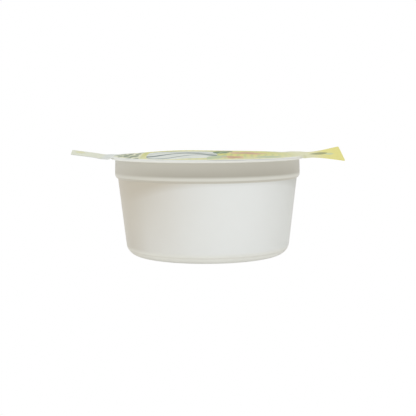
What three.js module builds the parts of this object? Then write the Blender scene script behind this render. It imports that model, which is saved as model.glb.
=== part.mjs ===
// A single-serve spread cup: a white moulded cup with a collar and a flange, closed by a
// printed foil lid with two pull tabs. It is filled and sealed, so the cup is one solid.
// Millimetres, +Z up, origin on the cup's axis at the base, with the tabs along X.
import * as THREE from 'three';

// The cup's driving sizes.
const FLANGE_RADIUS = 30;
const FLANGE_THICKNESS = 0.7;
const FLANGE_EDGE_ROUNDING = 0.28;
const CUP_HEIGHT = 30.58;
const COLLAR_TOP_RADIUS = 28.63;
const COLLAR_RADIUS = 28.8;
const COLLAR_LOW_HEIGHT = 24.4;
const COLLAR_ROUNDING = 1.65;
const WALL_TOP_RADIUS = 27.85;
const WALL_TOP_HEIGHT = 23.85;
const WALL_FOOT_RADIUS = 25.12;
const FOOT_ROUNDING = 3.8;
const FOOT_RING_INNER_RADIUS = 18.8;
const BASE_PANEL_RADIUS = 17.8;
const BASE_PANEL_HEIGHT = 0.8;
const SMALL_ROUNDING = 0.35;
const BASE_PANEL_ROUNDING = 0.7;
const CUP_SIDES = 90;
const ARC_TOLERANCE = 0.02;

// The lid's driving sizes.
const LID_RADIUS = 30.3;
const LID_THICKNESS = 0.16;
const SEAL_GAP = 0.04;
const DOME_RADIUS = 27.4;
const DOME_LEFT = { height: 1.34, power: 2.5, end: -20 };
const DOME_RIGHT = { height: 0.96, power: 3, start: 12 };
const DOME_RINGS = 6;
const FILL_RINGS = 4;
const FILL_CLEARANCE = 0.12;
const TAB_REACH = 42;
const TAB_WIDTH = 12.4;
const TAB_CORNER_ROUNDING = 0.6;
const TAB_ROOT_ROUNDING = 8;

// How many steps each stretch of a quarter of the lid's outline has.
const END_STEPS = 4;
const CORNER_STEPS = 3;
const SIDE_STEPS = 4;
const ROOT_STEPS = 6;
const DISC_STEPS = 16;

// The rings of the foil's grid outside the dome: spread evenly round the disc, and towards
// a tab's end by these parts of the way from the flange's rim.
const OUTER_RINGS = 6;
const TAB_RING_PARTS = [0.2, 0.45, 0.72, 1];
const TAB_RING_BLEND = 0.8;

// How each pull tab is bent. Its foil has come up a little along the far side of its
// root: peel is that angle about X, from peelStart on, and early is the part of it that
// comes well before. The free foil droops at first, then slopes up to its end, which is
// twisted further about X, cut a little askew, and a little longer on the left.
const degrees = THREE.MathUtils.degToRad;
const RIGHT_TAB = {
  peel: degrees(4),
  early: 0.1,
  peelStart: 24,
  nearDroop: 0,
  farDroop: 0,
  droopEnd: 33,
  slope: 0.036,
  twist: degrees(14.5),
  skew: -0.04,
  longer: 0,
};
const LEFT_TAB = {
  peel: degrees(3.2),
  early: 0,
  peelStart: 28.5,
  nearDroop: 0.22,
  farDroop: 0.3,
  droopEnd: 35.5,
  slope: 0.145,
  twist: degrees(0.9),
  skew: 0.1,
  longer: 0.35,
};
const PEEL_FULL = 30.5;
const EARLY_PEEL_START = 14;
const EARLY_PEEL_FULL = 20;
const SLOPE_START = 32.6;
const SLOPE_EASE = 1;
const TWIST_START = 32;
const TWIST_POWER = 1.3;

// The foil can only bend down where it is free of the flange: not at all up to the first
// radius, and fully from the second on.
const FREE_START_RADIUS = 30.1;
const FREE_FULL_RADIUS = 31;
const DROOP_FADE_LENGTH = 4;
const DROOP_SIDE_BLEND = 5;

// An outline whose corners are given as [radius, height, rounding], with each corner
// that has a rounding turned into an arc that is tangent to both its sides.
function roundedOutline(corners) {
  const points = [];
  corners.forEach(([radius, height, rounding], index) => {
    const corner = new THREE.Vector2(radius, height);
    if (!rounding) {
      points.push(corner);
      return;
    }
    const before = new THREE.Vector2(...corners[index - 1].slice(0, 2)).sub(corner).normalize();
    const after = new THREE.Vector2(...corners[index + 1].slice(0, 2)).sub(corner).normalize();
    const turn = Math.PI - Math.acos(before.dot(after));
    const tangent = rounding * Math.tan(turn / 2);
    const start = corner.clone().addScaledVector(before, tangent);
    const end = corner.clone().addScaledVector(after, tangent);
    const inward = before.clone().add(after).normalize();
    const centre = corner.clone().addScaledVector(inward, rounding / Math.cos(turn / 2));
    const startAngle = start.clone().sub(centre).angle();
    const endAngle = end.clone().sub(centre).angle();
    const sweep = THREE.MathUtils.euclideanModulo(endAngle - startAngle + Math.PI, 2 * Math.PI) - Math.PI;
    const stepAngle = 2 * Math.acos(1 - ARC_TOLERANCE / rounding);
    const steps = Math.ceil(Math.abs(sweep) / stepAngle);
    for (let step = 0; step <= steps; step += 1) {
      const angle = startAngle + (sweep * step) / steps;
      points.push(new THREE.Vector2(Math.cos(angle), Math.sin(angle)).multiplyScalar(rounding).add(centre));
    }
  });
  return points;
}

// The foil's bulge above its seal plane, at a distance from the axis. It is higher and
// rounder on the left, and lower with a flatter top on the right, so it needs x as well.
function domeHeight(distance, x) {
  const share = Math.min(1, distance / DOME_RADIUS);
  const side = THREE.MathUtils.smoothstep(x, DOME_LEFT.end, DOME_RIGHT.start);
  const height = THREE.MathUtils.lerp(DOME_LEFT.height, DOME_RIGHT.height, side);
  const power = THREE.MathUtils.lerp(DOME_LEFT.power, DOME_RIGHT.power, side);
  return height * (1 - share ** power);
}

// The cup's half outline, from the middle of its base out, up the wall and back over
// the fill, which follows the lower side of the lid's bulge, just below it.
function cupOutline() {
  const corners = [
    [0, BASE_PANEL_HEIGHT, 0],
    [BASE_PANEL_RADIUS, BASE_PANEL_HEIGHT, BASE_PANEL_ROUNDING],
    [FOOT_RING_INNER_RADIUS, 0, SMALL_ROUNDING],
    [WALL_FOOT_RADIUS, 0, FOOT_ROUNDING],
    [WALL_TOP_RADIUS, WALL_TOP_HEIGHT, 0],
    [COLLAR_RADIUS, COLLAR_LOW_HEIGHT, COLLAR_ROUNDING],
    [COLLAR_TOP_RADIUS, CUP_HEIGHT - FLANGE_THICKNESS, SMALL_ROUNDING],
    [FLANGE_RADIUS, CUP_HEIGHT - FLANGE_THICKNESS, FLANGE_EDGE_ROUNDING],
    [FLANGE_RADIUS, CUP_HEIGHT, FLANGE_EDGE_ROUNDING],
    [DOME_RADIUS, CUP_HEIGHT, 0],
  ];
  const outline = roundedOutline(corners);
  for (let ring = FILL_RINGS - 1; ring >= 0; ring -= 1) {
    const distance = DOME_RADIUS * Math.sqrt(ring / FILL_RINGS);
    const lower = Math.min(domeHeight(distance, distance), domeHeight(distance, -distance));
    outline.push(new THREE.Vector2(distance, CUP_HEIGHT + lower * (1 - FILL_CLEARANCE)));
  }
  return outline;
}

// A quarter of the lid's outline: half a tab end, its corner, its side, the hollow
// curve at its root, and a quarter of the disc up to the Y axis, which it leaves out.
function quarterOutline() {
  const halfWidth = TAB_WIDTH / 2;
  const rootCentreY = halfWidth + TAB_ROOT_ROUNDING;
  const rootCentreX = Math.sqrt((LID_RADIUS + TAB_ROOT_ROUNDING) ** 2 - rootCentreY ** 2);
  const rootAngle = Math.atan2(rootCentreY, rootCentreX);
  const cornerX = TAB_REACH - TAB_CORNER_ROUNDING;
  const cornerY = halfWidth - TAB_CORNER_ROUNDING;
  const points = [];
  const along = (count, place) => {
    for (let step = 0; step < count; step += 1) points.push(place(step / count));
  };
  const onArc = (x, y, radius, angle) => [x + radius * Math.cos(angle), y + radius * Math.sin(angle)];
  along(END_STEPS, (part) => [TAB_REACH, cornerY * part]);
  along(CORNER_STEPS, (part) => onArc(cornerX, cornerY, TAB_CORNER_ROUNDING, (part * Math.PI) / 2));
  along(SIDE_STEPS, (part) => [THREE.MathUtils.lerp(cornerX, rootCentreX, part), halfWidth]);
  const rootTurn = Math.PI / 2 - rootAngle;
  along(ROOT_STEPS, (part) => onArc(rootCentreX, rootCentreY, TAB_ROOT_ROUNDING, -Math.PI / 2 - rootTurn * part));
  along(DISC_STEPS, (part) => onArc(0, 0, LID_RADIUS, THREE.MathUtils.lerp(rootAngle, Math.PI / 2, part)));
  return points;
}

// The whole outline, counter-clockwise from +X: the quarter and its mirror images.
function lidOutline() {
  const quarter = quarterOutline();
  const toTop = [...quarter, [0, LID_RADIUS]];
  const toLeft = quarter.slice(1).reverse().map(([x, y]) => [-x, y]);
  const half = [...toTop, ...toLeft];
  return [...half, ...half.map(([x, y]) => [-x, -y])];
}

// Where a place on the flat foil goes once the foil is domed and its tabs are bent. The
// peel lifts the far side (y above 0) from inside the rim on.
function shapedFoil(x, y) {
  const tab = x > 0 ? RIGHT_TAB : LEFT_TAB;
  const out = Math.abs(x);
  const distance = Math.hypot(x, y);
  const { lerp, smoothstep } = THREE.MathUtils;

  const free = smoothstep(distance, FREE_START_RADIUS, FREE_FULL_RADIUS);
  const early = tab.early * smoothstep(out, EARLY_PEEL_START, EARLY_PEEL_FULL);
  const peeled = early + (1 - tab.early) * smoothstep(out, tab.peelStart, PEEL_FULL);
  const peel = tab.peel * peeled * (y > 0 ? 1 : free);
  const twisted = Math.max(0, out - TWIST_START) / (TAB_REACH - TWIST_START);
  const roll = peel + tab.twist * twisted ** TWIST_POWER;

  const beyond = Math.max(0, out - SLOPE_START);
  const rise = (tab.slope * beyond ** 2) / (beyond + SLOPE_EASE);
  const farSide = smoothstep(y, -DROOP_SIDE_BLEND, DROOP_SIDE_BLEND);
  const droopFade = 1 - smoothstep(out, tab.droopEnd - DROOP_FADE_LENGTH, tab.droopEnd);
  const droop = lerp(tab.nearDroop, tab.farDroop, farSide) * free * droopFade;

  const length = Math.sign(x) * twisted * (tab.skew * y + tab.longer);
  const height = domeHeight(distance, x) + rise - droop + y * Math.sin(roll);
  return new THREE.Vector3(x + length, y * Math.cos(roll), height);
}

// The rings of the foil's grid, as a distance along a ray that meets the outline at reach.
function ringDistances(reach) {
  const domed = [];
  for (let ring = 1; ring <= DOME_RINGS; ring += 1) {
    domed.push(DOME_RADIUS * Math.sqrt(ring / DOME_RINGS));
  }
  const even = Array.from({ length: OUTER_RINGS }, (_, ring) => (
    THREE.MathUtils.lerp(DOME_RADIUS, reach, (ring + 1) / OUTER_RINGS)
  ));
  const inTab = [
    (DOME_RADIUS + FREE_START_RADIUS) / 2,
    FREE_START_RADIUS,
    ...TAB_RING_PARTS.map((part) => THREE.MathUtils.lerp(FREE_START_RADIUS, reach, part)),
  ];
  const tabShare = THREE.MathUtils.smoothstep(reach - LID_RADIUS, 0, TAB_RING_BLEND);
  const outer = even.map((distance, ring) => THREE.MathUtils.lerp(distance, inTab[ring], tabShare));
  return [...domed, ...outer];
}

// The foil as a thin closed sheet: the same grid of rings for its underside and its
// top, joined along the outline.
function foilGeometry() {
  const outline = lidOutline();
  const count = outline.length;
  const rings = outline.map(([x, y]) => ringDistances(Math.hypot(x, y)));
  const ringCount = rings[0].length;
  const positions = [];
  const addFace = (rise) => {
    const centre = positions.length / 3;
    positions.push(0, 0, domeHeight(0, 0) + rise);
    for (let ring = 0; ring < ringCount; ring += 1) {
      outline.forEach(([x, y], spoke) => {
        const scale = rings[spoke][ring] / Math.hypot(x, y);
        const place = shapedFoil(x * scale, y * scale);
        positions.push(place.x, place.y, place.z + rise);
      });
    }
    return centre;
  };
  const under = addFace(0);
  const over = addFace(LID_THICKNESS);
  const indices = [];
  const vertex = (centre, ring, spoke) => centre + 1 + ring * count + (spoke % count);
  for (let spoke = 0; spoke < count; spoke += 1) {
    indices.push(over, vertex(over, 0, spoke), vertex(over, 0, spoke + 1));
    indices.push(under, vertex(under, 0, spoke + 1), vertex(under, 0, spoke));
    for (let ring = 1; ring < ringCount; ring += 1) {
      const corners = (face) => [
        vertex(face, ring - 1, spoke),
        vertex(face, ring, spoke),
        vertex(face, ring, spoke + 1),
        vertex(face, ring - 1, spoke + 1),
      ];
      const [a, b, c, d] = corners(over);
      const [e, f, g, h] = corners(under);
      indices.push(a, b, c, a, c, d);
      indices.push(e, g, f, e, h, g);
    }
    const rim = ringCount - 1;
    const [low, lowNext] = [vertex(under, rim, spoke), vertex(under, rim, spoke + 1)];
    const [high, highNext] = [vertex(over, rim, spoke), vertex(over, rim, spoke + 1)];
    indices.push(low, lowNext, highNext, low, highNext, high);
  }
  const geometry = new THREE.BufferGeometry();
  geometry.setAttribute('position', new THREE.Float32BufferAttribute(positions, 3));
  geometry.setIndex(indices);
  geometry.computeVertexNormals();
  return geometry;
}

function makeCup() {
  const geometry = new THREE.LatheGeometry(cupOutline(), CUP_SIDES);
  const plastic = new THREE.MeshStandardMaterial({ color: 0xe9eae6, roughness: 0.45, metalness: 0 });
  const cup = new THREE.Mesh(geometry.rotateX(Math.PI / 2), plastic);
  cup.name = 'cup';
  return cup;
}

function makeLid() {
  const foil = new THREE.MeshStandardMaterial({ color: 0xd8d892, roughness: 0.4, metalness: 0.2 });
  const lid = new THREE.Mesh(foilGeometry(), foil);
  lid.name = 'lid';
  lid.position.z = CUP_HEIGHT + SEAL_GAP;
  return lid;
}

const spreadCup = new THREE.Group();
spreadCup.add(makeCup(), makeLid());

export default spreadCup;
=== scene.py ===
# %% [markdown]
# # A spread portion cup
#
# The object is a shut single-serve cup: a white moulded cup with a collar and a flange,
# and a printed foil lid with a pull tab on each side. This script loads the model of it
# as a fixed frame, and makes a finer cup and a finer lid in the same places, with their
# finishes, the light and the camera. Lengths are in metres unless a name ends in `_MM` or
# a text says millimetres.

# %% Load the fixed frame
import math

import bpy
import numpy as np
from mathutils import Matrix, Vector


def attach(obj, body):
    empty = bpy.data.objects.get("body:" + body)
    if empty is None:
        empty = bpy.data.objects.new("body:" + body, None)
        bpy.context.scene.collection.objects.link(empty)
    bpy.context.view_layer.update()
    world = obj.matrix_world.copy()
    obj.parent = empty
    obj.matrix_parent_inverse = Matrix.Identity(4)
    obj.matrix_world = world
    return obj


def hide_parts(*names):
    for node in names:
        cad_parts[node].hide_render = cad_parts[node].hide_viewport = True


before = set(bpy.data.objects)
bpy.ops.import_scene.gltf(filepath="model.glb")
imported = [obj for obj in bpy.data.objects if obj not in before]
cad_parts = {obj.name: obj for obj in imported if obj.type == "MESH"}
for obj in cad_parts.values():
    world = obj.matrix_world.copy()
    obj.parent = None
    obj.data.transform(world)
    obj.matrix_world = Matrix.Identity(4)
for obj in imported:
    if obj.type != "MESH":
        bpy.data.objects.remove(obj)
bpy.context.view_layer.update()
MM = 0.001
print("nodes:", sorted(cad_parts))

# %% [markdown]
# ## The camera
#
# The picture is taken from a little above the lid, from about 29 cm away. A longer lens
# from further off would flatten the curves of the rim and the base, so the distance and
# the lens go together. The camera is tipped down, and turned very slightly about its own
# line of sight, because the cup stands a little askew in the picture.

# %% The camera
CAMERA_PLACE = Vector((0.000125, -0.2895, 0.0438))
CAMERA_PITCH = math.radians(5.847)
CAMERA_ROLL = math.radians(0.361)
LENS_MM = 80.13

camera = bpy.data.objects.new("camera", bpy.data.cameras.new("camera"))
bpy.context.collection.objects.link(camera)
camera.data.lens = LENS_MM
camera.data.clip_start = 0.01
camera.matrix_world = (
    Matrix.Translation(CAMERA_PLACE)
    @ Matrix.Rotation(math.pi / 2 - CAMERA_PITCH, 4, "X")
    @ Matrix.Rotation(-CAMERA_ROLL, 4, "Z")
)
bpy.context.scene.camera = camera
print("camera at", tuple(CAMERA_PLACE), "with a lens of", LENS_MM, "mm")

# %% [markdown]
# ## Nodes written as sums
#
# Finishes and repeated shapes are both made of nodes. A sum such as `1 - share` is easier
# to read than three nodes and their links, so a small class wraps one number of a tree
# and adds a Math node for each operator. Every other node comes from one method, which
# sets what kind it is first, then its values and links.

# %% A value that adds its own Math nodes
class Value:
    """One number that varies over a shape or a surface."""

    def __init__(self, tree, socket):
        self.tree = tree
        self.socket = socket

    def math(self, operation, *others, clamp=False):
        return self.tree.sum(operation, (self, *others), clamp)

    def __add__(self, other):
        return self.math("ADD", other)

    __radd__ = __add__

    def __mul__(self, other):
        return self.math("MULTIPLY", other)

    __rmul__ = __mul__

    def __sub__(self, other):
        return self.math("SUBTRACT", other)

    def __rsub__(self, other):
        return self.tree.sum("SUBTRACT", (other, self))

    def __truediv__(self, other):
        return self.math("DIVIDE", other)

    def __rtruediv__(self, other):
        return self.tree.sum("DIVIDE", (other, self))

    def __pow__(self, power):
        return self.math("POWER", power)

    def __abs__(self):
        return self.math("ABSOLUTE")

    def root(self):
        return self.math("SQRT")

    def sine(self):
        return self.math("SINE")

    def cosine(self):
        return self.math("COSINE")

    def held(self):
        """The value kept between 0 and 1."""
        return self.math("ADD", 0, clamp=True)


class Made:
    """A node that was made, whose outputs are read by name or identifier."""

    def __init__(self, tree, node):
        self.tree = tree
        self.node = node

    def __getitem__(self, name):
        return Value(self.tree, find_socket(self.node.outputs, name))


def find_socket(sockets, name):
    if isinstance(name, int):
        return sockets[name]
    return next(s for s in sockets if name in (s.identifier, s.name) and s.enabled)


class Tree:
    """A tree of nodes, of a finish or of a repeated shape."""

    def __init__(self, tree):
        self.tree = tree

    def node(self, kind, settings=None, sockets=None):
        made = self.tree.nodes.new(kind)
        for name, setting in (settings or {}).items():
            setattr(made, name, setting)
        for name, given in (sockets or {}).items():
            socket = find_socket(made.inputs, name)
            if isinstance(given, Value):
                self.tree.links.new(given.socket, socket)
            else:
                socket.default_value = given
        return Made(self, made)

    def sum(self, operation, numbers, clamp=False):
        settings = {"operation": operation, "use_clamp": clamp}
        return self.node("ShaderNodeMath", settings, dict(enumerate(numbers)))["Value"]


# %% [markdown]
# ## Finishes
#
# A finish reads the place on the piece in millimetres, so that a pattern stays where it
# is when the piece is looked at from another side. Two colours are blended by a share,
# and a share is 1 inside an edge, 0 outside it, and changes over a short distance.

# %% Helpers for finishes
def colour(red, green, blue):
    """A colour given as it looks on a screen, from 0 to 255, as the light that it sends."""
    def light(level):
        share = level / 255
        return share / 12.92 if share <= 0.04045 else ((share + 0.055) / 1.055) ** 2.4

    return (light(red), light(green), light(blue), 1)


class Finish(Tree):
    """A material, with one main shader."""

    def __init__(self, name):
        self.material = bpy.data.materials.new(name)
        self.material.use_nodes = True
        super().__init__(self.material.node_tree)
        self.tree.nodes.clear()

    def place_mm(self):
        """The place on the piece: its x, y and height in millimetres, and as a vector."""
        place = self.node("ShaderNodeTexCoord")["Object"]
        scaled = self.node("ShaderNodeVectorMath", {"operation": "SCALE"}, {0: place, "Scale": 1 / MM})
        split = self.node("ShaderNodeSeparateXYZ", None, {0: scaled["Vector"]})
        return split["X"], split["Y"], split["Z"], scaled["Vector"]

    def blend(self, share, under, over):
        """The colour under, covered with the colour over where share is 1."""
        sockets = {"Factor_Float": share, "A_Color": under, "B_Color": over}
        return self.node("ShaderNodeMix", {"data_type": "RGBA"}, sockets)["Result_Color"]

    def mottle(self, place, scale, detail=2.0):
        """An uneven value about 0.5, with spots a millimetre across at a scale of 1."""
        sockets = {"Vector": place, "Scale": scale, "Detail": detail}
        return self.node("ShaderNodeTexNoise", None, sockets)["Fac"]

    def surface(self, **sockets):
        """The shader of the surface, and the end of the tree."""
        named = {name.replace("_", " "): given for name, given in sockets.items()}
        shader = self.node("ShaderNodeBsdfPrincipled", None, named)
        self.node("ShaderNodeOutputMaterial", None, {"Surface": shader["BSDF"]})
        print("finish", self.material.name, "has", len(self.tree.nodes), "nodes")
        return self.material


def inside(distance, edge, softness=0.12):
    """1 where the distance is below the edge."""
    return ((edge - distance) * (1 / softness) + 0.5).held()


# %% [markdown]
# ## The light
#
# The cup stands on a white sweep under large soft lights, and the picture shows nothing
# of the sweep but pure white. A floor lit until it burns out would also light the cup from
# below, so the two are kept apart: the camera sees the floor and the surroundings as plain
# white, and what lights the cup is a quieter grey from all sides. The main softbox is in
# front on the left and low, and a second one hangs above and lights the lid. Neither is
# strong, so there is hardly a shadow on the cup and none that shows on the floor.

# %% The surroundings
SKY_LIGHT = (1.0, 0.998, 0.992, 1)
SKY_STRENGTH = 0.725
WHITE = (1, 1, 1, 1)

world = bpy.data.worlds.new("studio")
world.use_nodes = True
bpy.context.scene.world = world
sky = Tree(world.node_tree)
sky.tree.nodes.clear()
seen = sky.node("ShaderNodeBackground", None, {"Color": WHITE, "Strength": 1.0})
lit = sky.node("ShaderNodeBackground", None, {"Color": SKY_LIGHT, "Strength": SKY_STRENGTH})
camera_sees = sky.node("ShaderNodeLightPath")["Is Camera Ray"]
both = sky.node("ShaderNodeMixShader", None, {0: camera_sees, 1: lit["Background"], 2: seen["Background"]})
sky.node("ShaderNodeOutputWorld", None, {"Surface": both["Shader"]})
bpy.context.scene.view_settings.view_transform = "Standard"
print("surroundings light the cup with", SKY_STRENGTH)

# %% The floor
FLOOR_HALF = 3.0
FLOOR_DROP = 0.0001
SWEEP_PAPER = colour(238, 238, 236)
SWEEP_GLOW = 0.2

floor_mesh = bpy.data.meshes.new("floor")
corners = [(x, y, -FLOOR_DROP) for x, y in ((-1, -1), (1, -1), (1, 1), (-1, 1))]
floor_mesh.from_pydata([(x * FLOOR_HALF, y * FLOOR_HALF, z) for x, y, z in corners], [], [(0, 1, 2, 3)])
floor = bpy.data.objects.new("floor", floor_mesh)
bpy.context.collection.objects.link(floor)

sweep = Finish("white_sweep")
paper = sweep.node("ShaderNodeBsdfDiffuse", None, {"Color": SWEEP_PAPER})
glow = sweep.node("ShaderNodeEmission", None, {"Color": WHITE, "Strength": SWEEP_GLOW})
lit = sweep.node("ShaderNodeAddShader", None, {0: paper["BSDF"], 1: glow["Emission"]})
seen = sweep.node("ShaderNodeEmission", None, {"Color": WHITE, "Strength": 1.0})
camera_sees = sweep.node("ShaderNodeLightPath")["Is Camera Ray"]
both = sweep.node("ShaderNodeMixShader", None, {0: camera_sees, 1: lit["Shader"], 2: seen["Emission"]})
sweep.node("ShaderNodeOutputMaterial", None, {"Surface": both["Shader"]})
floor_mesh.materials.append(sweep.material)
print("floor", 2 * FLOOR_HALF, "m across")

# %% The softboxes
AIM = Vector((0, 0, 0.016))
SOFTBOX_SIZE = 0.6


def softbox(name, azimuth, elevation, distance, watts):
    """A square soft light. Its azimuth is turned from the front towards the right."""
    light = bpy.data.lights.new(name, "AREA")
    light.shape = "SQUARE"
    light.size = SOFTBOX_SIZE
    light.energy = watts
    turn = math.radians(azimuth)
    rise = math.radians(elevation)
    side = Vector((math.sin(turn), -math.cos(turn), 0)) * math.cos(rise)
    place = AIM + distance * (side + Vector((0, 0, math.sin(rise))))
    box = bpy.data.objects.new(name, light)
    box.location = place
    box.rotation_euler = (AIM - place).to_track_quat("-Z", "Y").to_euler()
    box.visible_camera = False
    bpy.context.collection.objects.link(box)
    print(name, "at", [round(c, 3) for c in place])


softbox("main_softbox", -30, 25, 0.9, 0.68)
softbox("top_softbox", 0, 88, 0.8, 1.2)

# %% [markdown]
# ## The cup
#
# A moulded round cup is one outline turned about its axis, so its shape follows a rule.
# A Screw modifier could turn it too, but a tree of nodes also makes the wall very slightly
# uneven, as thin moulded plastic is. The outline is a list of corners from the middle of
# the base, out to the foot ring, up the wall, round the collar and the flange, and back
# over the spread under the foil. Each corner's rounding becomes an arc, and the long
# straight runs are cut into short steps, so that the unevenness has points to move.

# %% The cup's sizes, in millimetres
CUP_HEIGHT_MM = 30.58
FLANGE_RADIUS_MM = 30.0
FLANGE_THICKNESS_MM = 0.7

# The bulge of the foil has one form left of the first x, and another right of the second.
# Its power says how far out it stays full, and the fill stays below it by a share.
DOME_RADIUS_MM = 27.4
DOME_LEFT = {"height": 1.34, "power": 2.5, "end": -20}
DOME_RIGHT = {"height": 0.96, "power": 3, "start": 12}
FILL_CLEARANCE = 0.12

# Each corner has its distance from the axis, its height and its rounding.
CUP_CORNERS_MM = [
    (0, 0.8, 0),
    (17.8, 0.8, 0.7),
    (18.8, 0, 0.35),
    (25.12, 0, 3.8),
    (27.85, 23.85, 0.2),
    (28.8, 24.4, 1.65),
    (28.63, CUP_HEIGHT_MM - FLANGE_THICKNESS_MM, 0.35),
    (FLANGE_RADIUS_MM, CUP_HEIGHT_MM - FLANGE_THICKNESS_MM, 0.28),
    (FLANGE_RADIUS_MM, CUP_HEIGHT_MM, 0.15),
    (DOME_RADIUS_MM, CUP_HEIGHT_MM, 0),
]
print("cup", 2 * FLANGE_RADIUS_MM, "mm across its flange and", CUP_HEIGHT_MM, "mm tall")

# %% The outline with its roundings
LONGEST_STEP_MM = 0.9
ARC_TOLERANCE_MM = 0.004
FILL_STEPS = 24


def arc_points(before, corner, after, rounding):
    """The arc of that radius that is tangent to both sides of the corner."""
    to_before = (before - corner).normalized()
    to_after = (after - corner).normalized()
    turn = math.pi - to_before.angle(to_after)
    reach = rounding * math.tan(turn / 2)
    centre = corner + (to_before + to_after).normalized() * rounding / math.cos(turn / 2)
    start = (corner + to_before * reach - centre).normalized()
    end = (corner + to_after * reach - centre).normalized()
    steps = math.ceil(turn / (2 * math.acos(1 - ARC_TOLERANCE_MM / rounding)))
    return [centre + start.slerp(end, step / steps) * rounding for step in range(steps + 1)]


def rounded(corners_mm):
    """The corners as points, with an arc at each corner that has a rounding."""
    places = [Vector((radius, height)) for radius, height, _ in corners_mm]
    points = []
    for index, (_, _, rounding) in enumerate(corners_mm):
        if rounding:
            points += arc_points(places[index - 1], places[index], places[index + 1], rounding)
        else:
            points.append(places[index])
    return points


def stepped(points, longest):
    """The same line, with no step longer than the longest."""
    line = [points[0]]
    for start, end in zip(points, points[1:]):
        count = max(1, math.ceil((end - start).length / longest))
        line += [start.lerp(end, step / count) for step in range(1, count + 1)]
    return line


def smooth(value, low, high):
    """0 below low, 1 above high, and a smooth rise between them."""
    share = np.clip((value - low) / (high - low), 0, 1)
    return share * share * (3 - 2 * share)


def dome_height(distance, x):
    """The foil's bulge above its seal plane, which is higher and rounder on the left."""
    share = np.minimum(1, distance / DOME_RADIUS_MM)
    side = smooth(x, DOME_LEFT["end"], DOME_RIGHT["start"])
    height = DOME_LEFT["height"] + (DOME_RIGHT["height"] - DOME_LEFT["height"]) * side
    power = DOME_LEFT["power"] + (DOME_RIGHT["power"] - DOME_LEFT["power"]) * side
    return height * (1 - share**power)


def cup_outline():
    line = stepped(rounded(CUP_CORNERS_MM), LONGEST_STEP_MM)
    for step in range(FILL_STEPS - 1, -1, -1):
        distance = DOME_RADIUS_MM * step / FILL_STEPS
        lower = min(dome_height(distance, distance), dome_height(distance, -distance))
        line.append(Vector((distance, CUP_HEIGHT_MM + float(lower) * (1 - FILL_CLEARANCE))))
    return line


outline = cup_outline()
print("outline of", len(outline), "points")

# %% A tree that turns an outline about the upright axis
def lathe_tree():
    """Nodes that turn a line in the X-Z plane, given as a mesh, into a closed round body."""
    group = bpy.data.node_groups.new("turned_cup", "GeometryNodeTree")
    face = group.interface
    face.new_socket("Outline", in_out="INPUT", socket_type="NodeSocketGeometry")
    face.new_socket("Sides", in_out="INPUT", socket_type="NodeSocketInt")
    face.new_socket("Unevenness", in_out="INPUT", socket_type="NodeSocketFloat")
    face.new_socket("Patch size", in_out="INPUT", socket_type="NodeSocketFloat")
    face.new_socket("Lowest uneven height", in_out="INPUT", socket_type="NodeSocketFloat")
    face.new_socket("Highest uneven height", in_out="INPUT", socket_type="NodeSocketFloat")
    face.new_socket("Plastic", in_out="INPUT", socket_type="NodeSocketMaterial")
    face.new_socket("Cup", in_out="OUTPUT", socket_type="NodeSocketGeometry")

    lathe = Tree(group)
    given = lathe.node("NodeGroupInput")
    outline_size = lathe.node("GeometryNodeAttributeDomainSize", None, {"Geometry": given["Outline"]})
    count = outline_size["Point Count"]
    grid = lathe.node(
        "GeometryNodeMeshGrid",
        None,
        {"Vertices X": given["Sides"] + 1, "Vertices Y": count},
    )["Mesh"]
    index = lathe.node("GeometryNodeInputIndex")["Index"]
    spoke = (index / count).math("FLOOR")
    along = index - spoke * count
    place = lathe.node("GeometryNodeInputPosition")["Position"]
    point = lathe.node(
        "GeometryNodeSampleIndex",
        {"data_type": "FLOAT_VECTOR"},
        {"Geometry": given["Outline"], "Value": place, "Index": along},
    )["Value"]
    split = lathe.node("ShaderNodeSeparateXYZ", None, {0: point})
    angle = spoke / given["Sides"] * (2 * math.pi)
    turned = lathe.node(
        "ShaderNodeCombineXYZ",
        None,
        {"X": split["X"] * angle.cosine(), "Y": split["X"] * angle.sine(), "Z": split["Z"]},
    )["Vector"]
    body = lathe.node("GeometryNodeSetPosition", None, {"Geometry": grid, "Position": turned})["Geometry"]
    body = lathe.node("GeometryNodeMergeByDistance", None, {"Geometry": body, "Distance": 1e-6})["Geometry"]

    height = lathe.node("ShaderNodeSeparateXYZ", None, {0: place})["Z"]
    middle = (given["Lowest uneven height"] + given["Highest uneven height"]) / 2
    half = (given["Highest uneven height"] - given["Lowest uneven height"]) / 2
    share = (1 - abs((height - middle) / half) ** 4).held()
    noise = lathe.node(
        "ShaderNodeTexNoise",
        None,
        {"Vector": place, "Scale": 1 / given["Patch size"], "Detail": 1.0},
    )["Fac"]
    normal = lathe.node("GeometryNodeInputNormal")["Normal"]
    push = lathe.node(
        "ShaderNodeVectorMath",
        {"operation": "SCALE"},
        {0: normal, "Scale": (noise - 0.5) * 2 * given["Unevenness"] * share},
    )["Vector"]
    body = lathe.node("GeometryNodeSetPosition", None, {"Geometry": body, "Offset": push})["Geometry"]
    body = lathe.node("GeometryNodeSetShadeSmooth", None, {"Geometry": body})["Geometry"]
    body = lathe.node("GeometryNodeRealizeInstances", None, {"Geometry": body})["Geometry"]
    body = lathe.node(
        "GeometryNodeSetMaterial",
        None,
        {"Geometry": body, "Material": given["Plastic"]},
    )["Geometry"]
    lathe.node("NodeGroupOutput", None, {"Cup": body})
    return group


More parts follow.
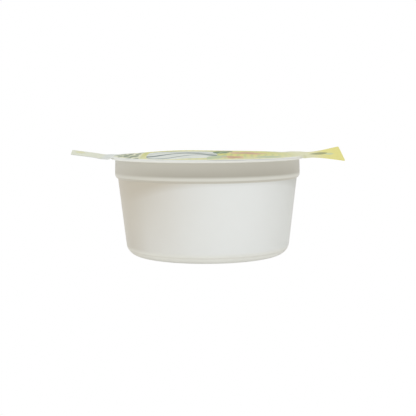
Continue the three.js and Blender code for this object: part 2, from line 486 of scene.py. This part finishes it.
def made_by_nodes(name, start_mesh, group, inputs):
    """A plain mesh object, from a start mesh and a tree with named inputs."""
    carrier = bpy.data.objects.new(name + "_carrier", start_mesh)
    bpy.context.collection.objects.link(carrier)
    modifier = carrier.modifiers.new("tree", "NODES")
    modifier.node_group = group
    identifiers = {item.name: item.identifier for item in group.interface.items_tree}
    for input_name, given in inputs.items():
        modifier[identifiers[input_name]] = given
    evaluated = carrier.evaluated_get(bpy.context.evaluated_depsgraph_get())
    mesh = bpy.data.meshes.new_from_object(evaluated)
    mesh.name = name
    carrier.modifiers.remove(modifier)
    bpy.data.objects.remove(carrier)
    piece = bpy.data.objects.new(name, mesh)
    bpy.context.collection.objects.link(piece)
    return piece


# %% [markdown]
# ## The cup's finish
#
# Thin white plastic looks as white as what is behind it. Where the spread lies against
# the wall, the wall is a clear white. Behind the collar there is only air, so the collar
# looks duller and warmer, most of all low down, and the solid flange above it is white
# again, with a painted highlight along its top edge. Painted light and shade also go round
# the cup: the wall and the bead are whitest towards the front right and the back left and
# duller towards the two sides between, with a painted shadow just under the collar on those
# sides. The low collar is painted darkest near the front and lighter at the sides, and
# there is painted shade in the crease under the bead and on the foot's rounding. Below the
# level of the cup's floor the plastic looks a little warmer.
#
# Light that shines through the wall would show the whiteness of the plastic, but it is slow
# and noisy to work out. Each zone is a blend of two base colours instead, placed by height
# and by the turn about the axis, so it stays on the cup from every side, and so does the
# painted light and shade. A faint mottle in the colour and the gloss keeps the plastic from
# looking painted.

# %% The colours of the white plastic
WALL_WHITE = colour(238, 240, 239)
# Painted shade on the wall towards its sides and under the collar, warm on the left and grey on the right.
WALL_SHADE_LEFT = colour(198, 190, 174)
WALL_SHADE_RIGHT = colour(193, 193, 185)
FOOT_WHITE = colour(236, 235, 227)
BEAD_WHITE = colour(222, 221, 212)
# Painted shade on the bead towards the sides.
BEAD_SIDE_SHADE = colour(211, 208, 197)
COLLAR_LOW = colour(181, 177, 164)
# Painted shade on the low collar, darkest near the front.
COLLAR_FRONT_SHADE = colour(178, 174, 161)
# The low collar at the sides; it is also the colour of the painted shade in the crease and on the foot's
# rounding.
COLLAR_LOW_SIDE = colour(195, 190, 177)
COLLAR_TOP = colour(204, 201, 190)
FLANGE_WHITE = colour(236, 237, 230)
# A painted highlight along the flange's top edge, under the foil's overhang.
FLANGE_PAINTED_LIGHT = colour(250, 250, 247)
MOTTLE_DARK = (0.975, 0.972, 0.965, 1)

# %% Where its zones lie
FLANGE_LIGHT_FROM_MM = 30.25
COLLAR_TOP_MM = 29.82
COLLAR_PALE_MM = 29.5
COLLAR_LOW_MM = 25.55
BEAD_LOW_MM = 24.55
CREASE_LOW_MM = 23.9
FILL_LEVEL_MM = 24.4
FILL_FADE_MM = 3.0
# How far the painted shadow under the collar reaches down the wall at the sides, on the left and on the
# right.
COLLAR_SHADOW_DROP_LEFT_MM = 5.7
COLLAR_SHADOW_DROP_RIGHT_MM = 6.5
FLOOR_LEVEL_MM = 2.9
# Where the band of painted shade on the foot's rounding lies, and its half width.
FOOT_SHADE_MM = 1.9
FOOT_SHADE_HALF_MM = 0.2
BASE_EDGE_MM = 19.5
BASE_FADE_MM = 5
SIDE_FADE_MM = 20
# The turn where the painted light on the wall is brightest.
PAINTED_LIGHT_TURN = math.radians(-68)
# The turn where the painted shade on the collar is darkest.
COLLAR_SHADE_TURN = math.radians(-100)

# How strong they are, as shares.
FOOT_SHARE = 0.6
# Strength of the painted shade on the foot's rounding.
FOOT_SHADE_SHARE = 0.25
# Strength of the painted shade in the crease under the bead.
CREASE_SHADE_SHARE = 0.9
BACKED_WHEN_EMPTY = 0.2
# How far the painted shade at the sides lifts towards the foot.
PAINTED_SHADE_LIFT_NEAR_FOOT = 0.55
NEAR_FOOT_AT_SIDES = 0.45
NEAR_FOOT_RISE = 3
print("spread up to", FILL_LEVEL_MM, "mm, and a floor at", FLOOR_LEVEL_MM, "mm")


# %% The zones of the white plastic
def wall_white_share(painted_light_share, height, on_left):
    """How white the wall is: white below the spread's level, with painted light and shade round the cup and
    a painted shadow under the collar towards the sides.
    """
    # A painted shadow under the collar: towards the sides the white begins lower down.
    shadow_drop = COLLAR_SHADOW_DROP_RIGHT_MM + (COLLAR_SHADOW_DROP_LEFT_MM - COLLAR_SHADOW_DROP_RIGHT_MM) * on_left
    level = FILL_LEVEL_MM - shadow_drop * (1 - painted_light_share) ** 2
    below = inside(height, level, FILL_FADE_MM)
    depth = (1 - height / FILL_LEVEL_MM).held()
    near_foot = PAINTED_SHADE_LIFT_NEAR_FOOT * depth * (NEAR_FOOT_AT_SIDES + painted_light_share * NEAR_FOOT_RISE).held()
    spread = BACKED_WHEN_EMPTY + (1 - BACKED_WHEN_EMPTY) * below
    return (1 - (1 - painted_light_share) * (1 - near_foot)) * spread


def wall_colour(plastic, painted_light_share, height, on_left):
    # Painted shade: the wall's colour towards the sides and under the collar.
    wall_shade = plastic.blend(on_left, WALL_SHADE_RIGHT, WALL_SHADE_LEFT)
    wall = plastic.blend(wall_white_share(painted_light_share, height, on_left), wall_shade, WALL_WHITE)
    wall = plastic.blend(inside(height, FLOOR_LEVEL_MM, 0.9) * FOOT_SHARE, wall, FOOT_WHITE)
    # A band of painted shade on the foot's rounding, where it turns down towards the floor.
    painted_foot_shade = inside(abs(height - FOOT_SHADE_MM), FOOT_SHADE_HALF_MM, 0.3)
    return plastic.blend(painted_foot_shade * FOOT_SHADE_SHARE, wall, COLLAR_LOW_SIDE)


def collar_colour(plastic, painted_light_share, height, around):
    # Painted shade on the low collar: darker towards the front right and the back left, darkest near the
    # front, and lighter at the sides.
    collar = plastic.blend(painted_light_share, COLLAR_LOW_SIDE, COLLAR_LOW)
    to_shade_turn = (around - COLLAR_SHADE_TURN).cosine()
    collar = plastic.blend((to_shade_turn * to_shade_turn) ** 3, collar, COLLAR_FRONT_SHADE)
    rising = ((height - COLLAR_LOW_MM) / (COLLAR_PALE_MM - COLLAR_LOW_MM)).held()
    return plastic.blend(rising, collar, COLLAR_TOP)


# %% The white plastic
def white_plastic():
    plastic = Finish("white_plastic")
    x, y, height, place = plastic.place_mm()
    distance = (x * x + y * y).root()
    around = y.math("ARCTAN2", x)
    # A share of painted light round the cup: 1 towards the front right and the back left, falling to
    # painted shade at the sides between, and 1 on the base.
    facing = (around - PAINTED_LIGHT_TURN).cosine()
    on_wall = inside(BASE_EDGE_MM, distance, BASE_FADE_MM)
    painted_light_share = 1 - (1 - facing * facing) * on_wall

    white = wall_colour(plastic, painted_light_share, height, inside(x, 0, SIDE_FADE_MM))
    below_bead = inside(height, BEAD_LOW_MM, 0.25)
    # The bead takes the painted light round the cup, with painted shade towards the sides.
    bead = plastic.blend(painted_light_share, BEAD_SIDE_SHADE, BEAD_WHITE)
    white = plastic.blend(below_bead, bead, white)
    # Painted shade in the crease under the collar's bead.
    painted_crease_shade = below_bead * inside(CREASE_LOW_MM, height, 0.3) * CREASE_SHADE_SHARE
    white = plastic.blend(painted_crease_shade, white, COLLAR_LOW_SIDE)
    collar = collar_colour(plastic, painted_light_share, height, around)
    white = plastic.blend(inside(height, COLLAR_LOW_MM, 0.7), collar, white)
    # A painted highlight on the flange above this height, which lifts the thin shadow under the foil's
    # overhang.
    flange = plastic.blend(inside(height, FLANGE_LIGHT_FROM_MM, 0.15), FLANGE_PAINTED_LIGHT, FLANGE_WHITE)
    white = plastic.blend(inside(height, COLLAR_TOP_MM, 0.1), flange, white)

    mottle = plastic.blend(plastic.mottle(place, 0.16), MOTTLE_DARK, WHITE)
    darker = plastic.node(
        "ShaderNodeMix",
        {"data_type": "RGBA", "blend_type": "MULTIPLY"},
        {"Factor_Float": 1.0, "A_Color": white, "B_Color": mottle},
    )["Result_Color"]
    grain = plastic.mottle(place, 1.8, 3.0)
    fine = plastic.node("ShaderNodeBump", None, {"Strength": 0.04, "Distance": 0.0001, "Height": grain})
    return plastic.surface(
        Base_Color=darker,
        Roughness=0.36 + 0.08 * grain,
        Normal=fine["Normal"],
    )


# %% Turn the cup
CUP_SIDES = 240
UNEVENNESS_MM = 0.02
UNEVEN_PATCH_MM = 12
UNEVEN_HEIGHTS_MM = (4, 22)
cup_start = bpy.data.meshes.new("cup_outline")
cup_start.from_pydata(
    [(point.x * MM, 0, point.y * MM) for point in outline],
    [(index, index + 1) for index in range(len(outline) - 1)],
    [],
)
cup = made_by_nodes("white_cup", cup_start, lathe_tree(), {
    "Sides": CUP_SIDES,
    "Unevenness": UNEVENNESS_MM * MM,
    "Patch size": UNEVEN_PATCH_MM * MM,
    "Lowest uneven height": UNEVEN_HEIGHTS_MM[0] * MM,
    "Highest uneven height": UNEVEN_HEIGHTS_MM[1] * MM,
    "Plastic": white_plastic(),
})
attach(cup, "root")
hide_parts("cup")


def volume(mesh):
    """The space that a closed mesh encloses, which is above 0 when its faces point outwards."""
    mesh.calc_loop_triangles()
    points = np.empty(len(mesh.vertices) * 3)
    mesh.vertices.foreach_get("co", points)
    corners = np.empty(len(mesh.loop_triangles) * 3, int)
    mesh.loop_triangles.foreach_get("vertices", corners)
    a, b, c = points.reshape(-1, 3)[corners].reshape(-1, 3, 3).transpose(1, 0, 2)
    return float(np.einsum("ij,ij->i", a, np.cross(b, c)).sum() / 6)


def report(piece):
    triangles = sum(len(polygon.vertices) - 2 for polygon in piece.data.polygons)
    millilitres = round(volume(piece.data) * 1e6, 3)
    print(piece.name, "has", triangles, "triangles and a volume of", millilitres, "ml")


report(cup)

# %% [markdown]
# ## The foil lid
#
# The lid is one sheet of foil: a disc that bulges over the spread, with a tab on each
# side. A cloth simulation could bend it, but foil keeps the bends that it has been given,
# and a rule puts each bend where the picture shows it. The lid is laid out flat first, as
# a grid of rings round the middle that fit the cut outline. Then one rule moves each place
# on the flat foil: the bulge, the peel beside each tab's root, the tab's droop and slope,
# and its twist. Small puckers run in from the sealed rim, because a flat sheet can't bulge
# without them.

# %% The lid's sizes, in millimetres
LID_RADIUS_MM = 30.3
LID_THICKNESS_MM = 0.16
SEAL_GAP_MM = 0.04
TAB_REACH_MM = 42.0
TAB_WIDTH_MM = 12.4
TAB_CORNER_ROUNDING_MM = 0.6
TAB_ROOT_ROUNDING_MM = 8.0

# Peel and twist turn the foil about X. Early is the part of the peel that comes well
# before peel_start. The droops lower the free foil on the near and the far side, as far
# out as droop_end. Slope lifts the tab towards its end, and skew and longer stretch it.
RIGHT_TAB = {
    "peel": math.radians(4),
    "early": 0.1,
    "peel_start": 24,
    "near_droop": 0,
    "far_droop": 0,
    "droop_end": 33,
    "slope": 0.036,
    "twist": math.radians(14.5),
    "skew": -0.04,
    "longer": 0,
}
LEFT_TAB = {
    "peel": math.radians(3.2),
    "early": 0,
    "peel_start": 28.5,
    "near_droop": 0.22,
    "far_droop": 0.3,
    "droop_end": 35.5,
    "slope": 0.145,
    "twist": math.radians(0.9),
    "skew": 0.1,
    "longer": 0.35,
}
PEEL_FULL_MM = 30.5
EARLY_PEEL_START_MM = 14
EARLY_PEEL_FULL_MM = 20
SLOPE_START_MM = 32.6
SLOPE_EASE_MM = 1
TWIST_START_MM = 32
TWIST_POWER = 1.3
FREE_START_MM = 30.1
FREE_FULL_MM = 30.7
DROOP_FADE_MM = 4
DROOP_SIDE_BLEND_MM = 5
print("lid", 2 * LID_RADIUS_MM, "mm across, and", 2 * TAB_REACH_MM, "mm over its flat tabs")

# %% The cut outline of the foil
END_STEPS = 16
CORNER_STEPS = 5
SIDE_STEPS = 34
ROOT_STEPS = 22
DISC_STEPS = 90


def quarter_outline():
    """Half a tab's end, its corner, side and root, and a quarter of the disc."""
    half_width = TAB_WIDTH_MM / 2
    root_y = half_width + TAB_ROOT_ROUNDING_MM
    root_x = math.sqrt((LID_RADIUS_MM + TAB_ROOT_ROUNDING_MM) ** 2 - root_y**2)
    root_angle = math.atan2(root_y, root_x)
    corner_x = TAB_REACH_MM - TAB_CORNER_ROUNDING_MM
    corner_y = half_width - TAB_CORNER_ROUNDING_MM

    def shares(count):
        return np.arange(count) / count

    def arc(x, y, radius, angles):
        return np.column_stack([x + radius * np.cos(angles), y + radius * np.sin(angles)])

    end = shares(END_STEPS)
    side = shares(SIDE_STEPS)
    side_x = corner_x + (root_x - corner_x) * side
    root_turn = math.pi / 2 - root_angle
    return np.vstack([
        np.column_stack([np.full(END_STEPS, TAB_REACH_MM), corner_y * end]),
        arc(corner_x, corner_y, TAB_CORNER_ROUNDING_MM, shares(CORNER_STEPS) * math.pi / 2),
        np.column_stack([side_x, np.full(SIDE_STEPS, half_width)]),
        arc(root_x, root_y, TAB_ROOT_ROUNDING_MM, -math.pi / 2 - root_turn * shares(ROOT_STEPS)),
        arc(0, 0, LID_RADIUS_MM, root_angle + (math.pi / 2 - root_angle) * shares(DISC_STEPS)),
    ])


def lid_outline():
    """The whole outline, counter-clockwise from the right."""
    quarter = quarter_outline()
    left = quarter[1:][::-1] * (-1, 1)
    half = np.vstack([quarter, [(0, LID_RADIUS_MM)], left])
    return np.vstack([half, -half])


print("the cut outline has", len(lid_outline()), "points")

# %% The rule that shapes the flat foil
PUCKER_MM = 0.035
PUCKERS_ROUND = 46
PUCKERS_GROW_MM = (19, 26)
PUCKERS_END_MM = (26.6, 28)
DENT_MM = 0.05
DENTS_FADE_MM = (16, 27)
SEAL_PRESS_MM = 0.03
SEAL_MIDDLE_MM = 28.7
SEAL_HALF_WIDTH_MM = 1.0


def foil_relief(x, y):
    """The foil's small unevenness, in millimetres: puckers, shallow dents and the seal."""
    distance = np.hypot(x, y)
    angle = np.arctan2(y, x)
    uneven = 0.6 + 0.4 * np.sin(5 * angle + 1.3) * np.sin(3 * angle + 0.4)
    pucker = np.sin(PUCKERS_ROUND * angle + 1.7 * np.sin(7 * angle)) * uneven
    pucker *= smooth(distance, *PUCKERS_GROW_MM) * (1 - smooth(distance, *PUCKERS_END_MM))
    dent = np.sin(x / 4.1 + 0.8) * np.sin(y / 5.3 + 2.1) + 0.6 * np.sin(x / 7.7 - y / 6.1)
    dent *= 1 - smooth(distance, *DENTS_FADE_MM)
    across = np.clip(abs(distance - SEAL_MIDDLE_MM) / SEAL_HALF_WIDTH_MM, 0, 1)
    seal = 1 - smooth(across, 0.7, 1)
    return PUCKER_MM * pucker + DENT_MM * dent - SEAL_PRESS_MM * seal


def shaped_foil(x, y):
    """Where places on the flat foil go, as columns of x, y and height above the seal."""
    right = x > 0
    tab = {name: np.where(right, RIGHT_TAB[name], LEFT_TAB[name]) for name in RIGHT_TAB}
    out = abs(x)
    distance = np.hypot(x, y)

    free = smooth(distance, FREE_START_MM, FREE_FULL_MM)
    early = tab["early"] * smooth(out, EARLY_PEEL_START_MM, EARLY_PEEL_FULL_MM)
    peeled = early + (1 - tab["early"]) * smooth(out, tab["peel_start"], PEEL_FULL_MM)
    peel = tab["peel"] * peeled * np.where(y > 0, 1, free)
    twisted = np.maximum(0, out - TWIST_START_MM) / (TAB_REACH_MM - TWIST_START_MM)
    roll = peel + tab["twist"] * twisted**TWIST_POWER

    beyond = np.maximum(0, out - SLOPE_START_MM)
    rise = tab["slope"] * beyond**2 / (beyond + SLOPE_EASE_MM)
    far_side = smooth(y, -DROOP_SIDE_BLEND_MM, DROOP_SIDE_BLEND_MM)
    droop_fade = 1 - smooth(out, tab["droop_end"] - DROOP_FADE_MM, tab["droop_end"])
    droop = (tab["near_droop"] + (tab["far_droop"] - tab["near_droop"]) * far_side) * free * droop_fade

    length = np.sign(x) * twisted * (tab["skew"] * y + tab["longer"])
    height = dome_height(distance, x) + foil_relief(x, y) + rise - droop + y * np.sin(roll)
    return np.column_stack([x + length, y * np.cos(roll), height])


ends = shaped_foil(np.array([-TAB_REACH_MM, TAB_REACH_MM]), np.zeros(2))
print("the tabs end", ends[:, 2].round(2), "mm above the seal")

# %% Make the foil sheet
DOME_RINGS = 27
RIM_RINGS = 30
BARE_EDGE_MM = -30.5


def foil_mesh(print_finish, back_finish):
    """A closed sheet: the printed face, the plain face below it, and the cut edge.

    The edge takes the print, except round the left tab, where the foil is bare.
    """
    edge = lid_outline()
    spokes = len(edge)
    reach = np.hypot(*edge.T)
    domed = DOME_RADIUS_MM * np.sqrt(np.arange(1, DOME_RINGS + 1) / DOME_RINGS)
    rim_shares = np.arange(1, RIM_RINGS + 1) / RIM_RINGS
    outer = DOME_RADIUS_MM + (reach - DOME_RADIUS_MM) * rim_shares[:, None]
    distances = np.vstack([np.repeat(domed[:, None], spokes, axis=1), outer])
    flat = (distances / reach)[:, :, None] * edge
    flat = np.vstack([[(0, 0)], flat.reshape(-1, 2)])
    places = shaped_foil(flat[:, 0], flat[:, 1])
    places[:, 2] += CUP_HEIGHT_MM + SEAL_GAP_MM
    top = places + (0, 0, LID_THICKNESS_MM)
    points = np.vstack([places, top]) * MM

    rings = DOME_RINGS + RIM_RINGS
    upper = len(places)
    here = np.arange(spokes)
    following = (here + 1) % spokes

    def vertex(ring, spoke):
        return 1 + ring * spokes + spoke

    faces = [(upper, upper + vertex(0, a), upper + vertex(0, b)) for a, b in zip(here, following)]
    kinds = [0] * spokes
    faces += [(0, vertex(0, b), vertex(0, a)) for a, b in zip(here, following)]
    kinds += [1] * spokes
    for ring in range(1, rings):
        for a, b in zip(here, following):
            quad = (vertex(ring - 1, a), vertex(ring, a), vertex(ring, b), vertex(ring - 1, b))
            faces.append(tuple(upper + corner for corner in quad))
            faces.append(quad[::-1])
            kinds += [0, 1]
    last = rings - 1
    for a, b in zip(here, following):
        faces.append((vertex(last, a), vertex(last, b), upper + vertex(last, b), upper + vertex(last, a)))
        kinds.append(1 if edge[a][0] < BARE_EDGE_MM else 0)

    mesh = bpy.data.meshes.new("foil_lid")
    mesh.from_pydata(points.tolist(), [], [[int(corner) for corner in face] for face in faces])
    mesh.materials.append(print_finish)
    mesh.materials.append(back_finish)
    mesh.polygons.foreach_set("material_index", kinds)
    mesh.shade_smooth()
    mesh.set_sharp_from_angle(angle=math.radians(50))
    mesh.update()
    return mesh


# %% [markdown]
# ## The lid's print
#
# The print is a plain garden design: a yellow field of fine reeds that grows paler towards
# the rim, a pale pool with grey-blue waves, leaves, three blossoms, and a patch of
# grey-green pebbles on the left. A picture could be laid on the foil, but motifs that are
# worked out stay sharp from close by and need no file. Each motif is a share worked out
# from the place on the lid, laid over what is below it. The picture looks along the lid,
# so shapes that are long from front to back show best.

# %% Shapes for the print
VEIN_HALF_MM = 0.22
PETALS = 5


def turned(x, y, centre, angle):
    """The place as seen from a motif's centre, along its length and across it."""
    c, s = math.cos(angle), math.sin(angle)
    dx, dy = x - centre[0], y - centre[1]
    return dx * c + dy * s, dy * c - dx * s


def leaf(x, y, centre, angle, half_length, half_width):
    """The shares of a pointed leaf and of its middle vein."""
    along, across = turned(x, y, centre, math.radians(angle))
    width = half_width * (1 - (along / half_length) ** 2)
    blade = inside(abs(across), width, 0.2)
    vein = inside(abs(across), VEIN_HALF_MM, 0.2) * blade
    return blade, vein


def blossom(x, y, centre, angle, radius):
    """A flower's petals, and a share that is 1 at its heart and falls to its rim."""
    along, across = turned(x, y, centre, math.radians(angle))
    distance = (along * along + across * across).root()
    around = across.math("ARCTAN2", along)
    edge = radius * (0.5 + 0.5 * abs((around * (PETALS / 2)).cosine()))
    return inside(distance, edge, 0.3), (1 - distance / radius).held()


# %% The colours and places of the print
BORDER_MM = 29.3
BORDER_WHITE = colour(240, 242, 236)
YELLOW = colour(217, 213, 104)
LIME = colour(192, 200, 112)
CREAM = colour(226, 227, 192)
POOL_WHITE = colour(238, 242, 234)
POOL_GREY = colour(204, 212, 205)
WAVE_BLUE = colour(88, 108, 106)
PEBBLE_GREEN = colour(132, 146, 116)
PEBBLE_GROUND = colour(224, 225, 190)
TERRACOTTA = colour(184, 134, 94)
SALMON = colour(224, 186, 142)
GREEN = colour(84, 122, 70)
SAGE = colour(184, 199, 160)
VEIN_GREEN = colour(186, 202, 140)
TAB_YELLOW = colour(234, 227, 134)
TAB_CREAM = colour(227, 230, 209)
TAB_OLIVE = colour(132, 140, 84)
ROOT_CREAM = colour(226, 226, 184)
ROOT_GREY = colour(218, 224, 218)
TEAL = colour(178, 206, 192)
REEDS_PER_MM = 3.1
FIELD_PALE_FROM_MM = 19
FIELD_PALE_OVER_MM = 9
PATCH_EDGE_MM = -19.8
PEBBLE_SCALE = 0.46
PEBBLE_EDGE = 0.42
POOL_CENTRE = (-7.5, -11.5)
POOL_HALF = (10.5, 13.5)
WAVE_SWAY_MM = 3.4
WAVES = ((-20.0, 0.8, 0.7), (-14.0, 1.5, 1.0), (-8.0, 0.7, 0.6), (-2.5, 1.3, 0.8))
LEAVES = (
    ((4.8, -3.0), 80, 10.0, 2.9, GREEN),
    ((2.8, -22.0), 62, 6.0, 2.3, SAGE),
    ((18.0, -18.0), 40, 5.5, 1.8, SAGE),
    ((-6.0, 18.0), 12, 7.5, 2.6, GREEN),
    ((16.5, 14.0), -35, 7.0, 2.4, GREEN),
)
BLOSSOMS = (((12.0, -6.5), 10, 6.5), ((7.5, -22.0), 40, 3.6), ((5.5, 15.5), 0, 5.5))
RIGHT_ROOT_MM = 27.5
RIGHT_ROOT_END_MM = 34
LEFT_ROOT_MM = -29
LEFT_ROOT_END_MM = -32.4
TAB_MARKS = (
    ((-39.9, 2.2), 0, 1.7, 2.6, YELLOW, 0.4),
    ((38.0, 0.0), -8, 1.6, 1.2, TEAL, 0.5),
    ((34.8, 1.2), 6, 3.0, 2.0, TAB_OLIVE, 0.8),
)
print("print of", len(WAVES), "waves,", len(LEAVES), "leaves and", len(BLOSSOMS), "blossoms")


# %% The parts of the print
def reed_field(ink, x, y, place, cloud):
    """Fine reeds that run from front to back, growing paler towards the rim."""
    sway = (y / 3.7).sine() * 1.6 + (y / 9).sine() * 3
    reeds = ((x * REEDS_PER_MM + sway).sine() * 0.5 + 0.5) ** 2
    field = ink.blend((reeds * cloud * 1.8).held(), YELLOW, LIME)
    distance = (x * x + y * y).root()
    outwards = ((distance - FIELD_PALE_FROM_MM) / FIELD_PALE_OVER_MM).held()
    return ink.blend(outwards * (0.4 + 0.45 * ink.mottle(place, 0.8, 2.0)), field, CREAM)


def with_pool(ink, field, x, y, cloud):
    """A pool with rounded corners, crossed by waves."""
    across = (x - POOL_CENTRE[0]) / POOL_HALF[0]
    along = (y - POOL_CENTRE[1]) / POOL_HALF[1]
    pool = inside(across**4 + along**4, 1, 0.06)
    field = ink.blend(pool, field, ink.blend(cloud, POOL_GREY, POOL_WHITE))
    for middle, half_width, strength in WAVES:
        line = y - middle - WAVE_SWAY_MM * (x / WAVE_SWAY_MM + middle / 5).sine()
        wave = inside(abs(line), half_width * (0.4 + cloud), 0.5)
        field = ink.blend(wave * pool * strength, field, WAVE_BLUE)
    return field


def with_pebbles(ink, field, x, place):
    """Pebbles that are longer from front to back, on a pale ground."""
    patch = inside(x, PATCH_EDGE_MM, 0.4)
    field = ink.blend(patch, field, PEBBLE_GROUND)
    long_place = ink.node("ShaderNodeVectorMath", {"operation": "MULTIPLY"}, {0: place, 1: (1, 0.3, 1)})
    pebbles = ink.node(
        "ShaderNodeTexVoronoi",
        {"voronoi_dimensions": "2D", "feature": "F1"},
        {"Vector": long_place["Vector"], "Scale": PEBBLE_SCALE, "Randomness": 0.8},
    )["Distance"]
    return ink.blend(inside(pebbles, PEBBLE_EDGE, 0.15) * patch, field, PEBBLE_GREEN)


def with_leaves_and_blossoms(ink, field, x, y):
    for centre, angle, half_length, half_width, green in LEAVES:
        blade, vein = leaf(x, y, centre, angle, half_length, half_width)
        field = ink.blend(blade, field, green)
        field = ink.blend(vein, field, VEIN_GREEN)
    for centre, angle, radius in BLOSSOMS:
        petal, heart = blossom(x, y, centre, angle, radius)
        field = ink.blend(petal, field, ink.blend(heart, SALMON, TERRACOTTA))
    return field


def with_tabs(ink, field, x, y):
    """A yellow tab on the right and a cream one on the left, with leaf-shaped marks."""
    right_tab = ink.blend(inside(x, RIGHT_ROOT_END_MM, 6), TAB_YELLOW, ROOT_CREAM)
    field = ink.blend(inside(RIGHT_ROOT_MM, x, 4), field, right_tab)
    left_tab = ink.blend(inside(x, LEFT_ROOT_END_MM, 1.5), ROOT_GREY, TAB_CREAM)
    field = ink.blend(inside(x, LEFT_ROOT_MM, 4), field, left_tab)
    for centre, angle, half_length, half_width, shade, strength in TAB_MARKS:
        mark, _ = leaf(x, y, centre, angle, half_length, half_width)
        field = ink.blend(mark * strength, field, shade)
    return field


# %% The printed face
def printed_foil():
    ink = Finish("printed_foil")
    x, y, _, place = ink.place_mm()
    cloud = ink.mottle(place, 0.3, 1.0)
    field = reed_field(ink, x, y, place, cloud)
    field = with_pool(ink, field, x, y, cloud)
    field = with_pebbles(ink, field, x, place)
    field = with_leaves_and_blossoms(ink, field, x, y)
    distance = (x * x + y * y).root()
    field = ink.blend(inside(distance, BORDER_MM, 0.2), BORDER_WHITE, field)
    field = with_tabs(ink, field, x, y)

    grain = ink.mottle(place, 1.2, 3.0)
    fine = ink.node("ShaderNodeBump", None, {"Strength": 0.08, "Distance": 0.0001, "Height": grain})
    return ink.surface(
        Base_Color=field,
        Roughness=0.36 + 0.1 * grain,
        Normal=fine["Normal"],
    )


# %% The plain back of the foil
SILVER_DULL = colour(204, 206, 203)
SILVER_BRIGHT = colour(218, 219, 216)


def foil_back():
    back = Finish("foil_back")
    _, _, _, place = back.place_mm()
    grain = back.mottle(place, 0.9, 3.0)
    silver = back.blend(grain, SILVER_DULL, SILVER_BRIGHT)
    fine = back.node("ShaderNodeBump", None, {"Strength": 0.08, "Distance": 0.0001, "Height": grain})
    return back.surface(
        Base_Color=silver,
        Metallic=0.35,
        Roughness=0.34 + 0.12 * grain,
        Normal=fine["Normal"],
    )


# %% Put the lid on
lid = bpy.data.objects.new("foil_lid", foil_mesh(printed_foil(), foil_back()))
bpy.context.collection.objects.link(lid)
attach(lid, "root")
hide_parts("lid")
report(lid)
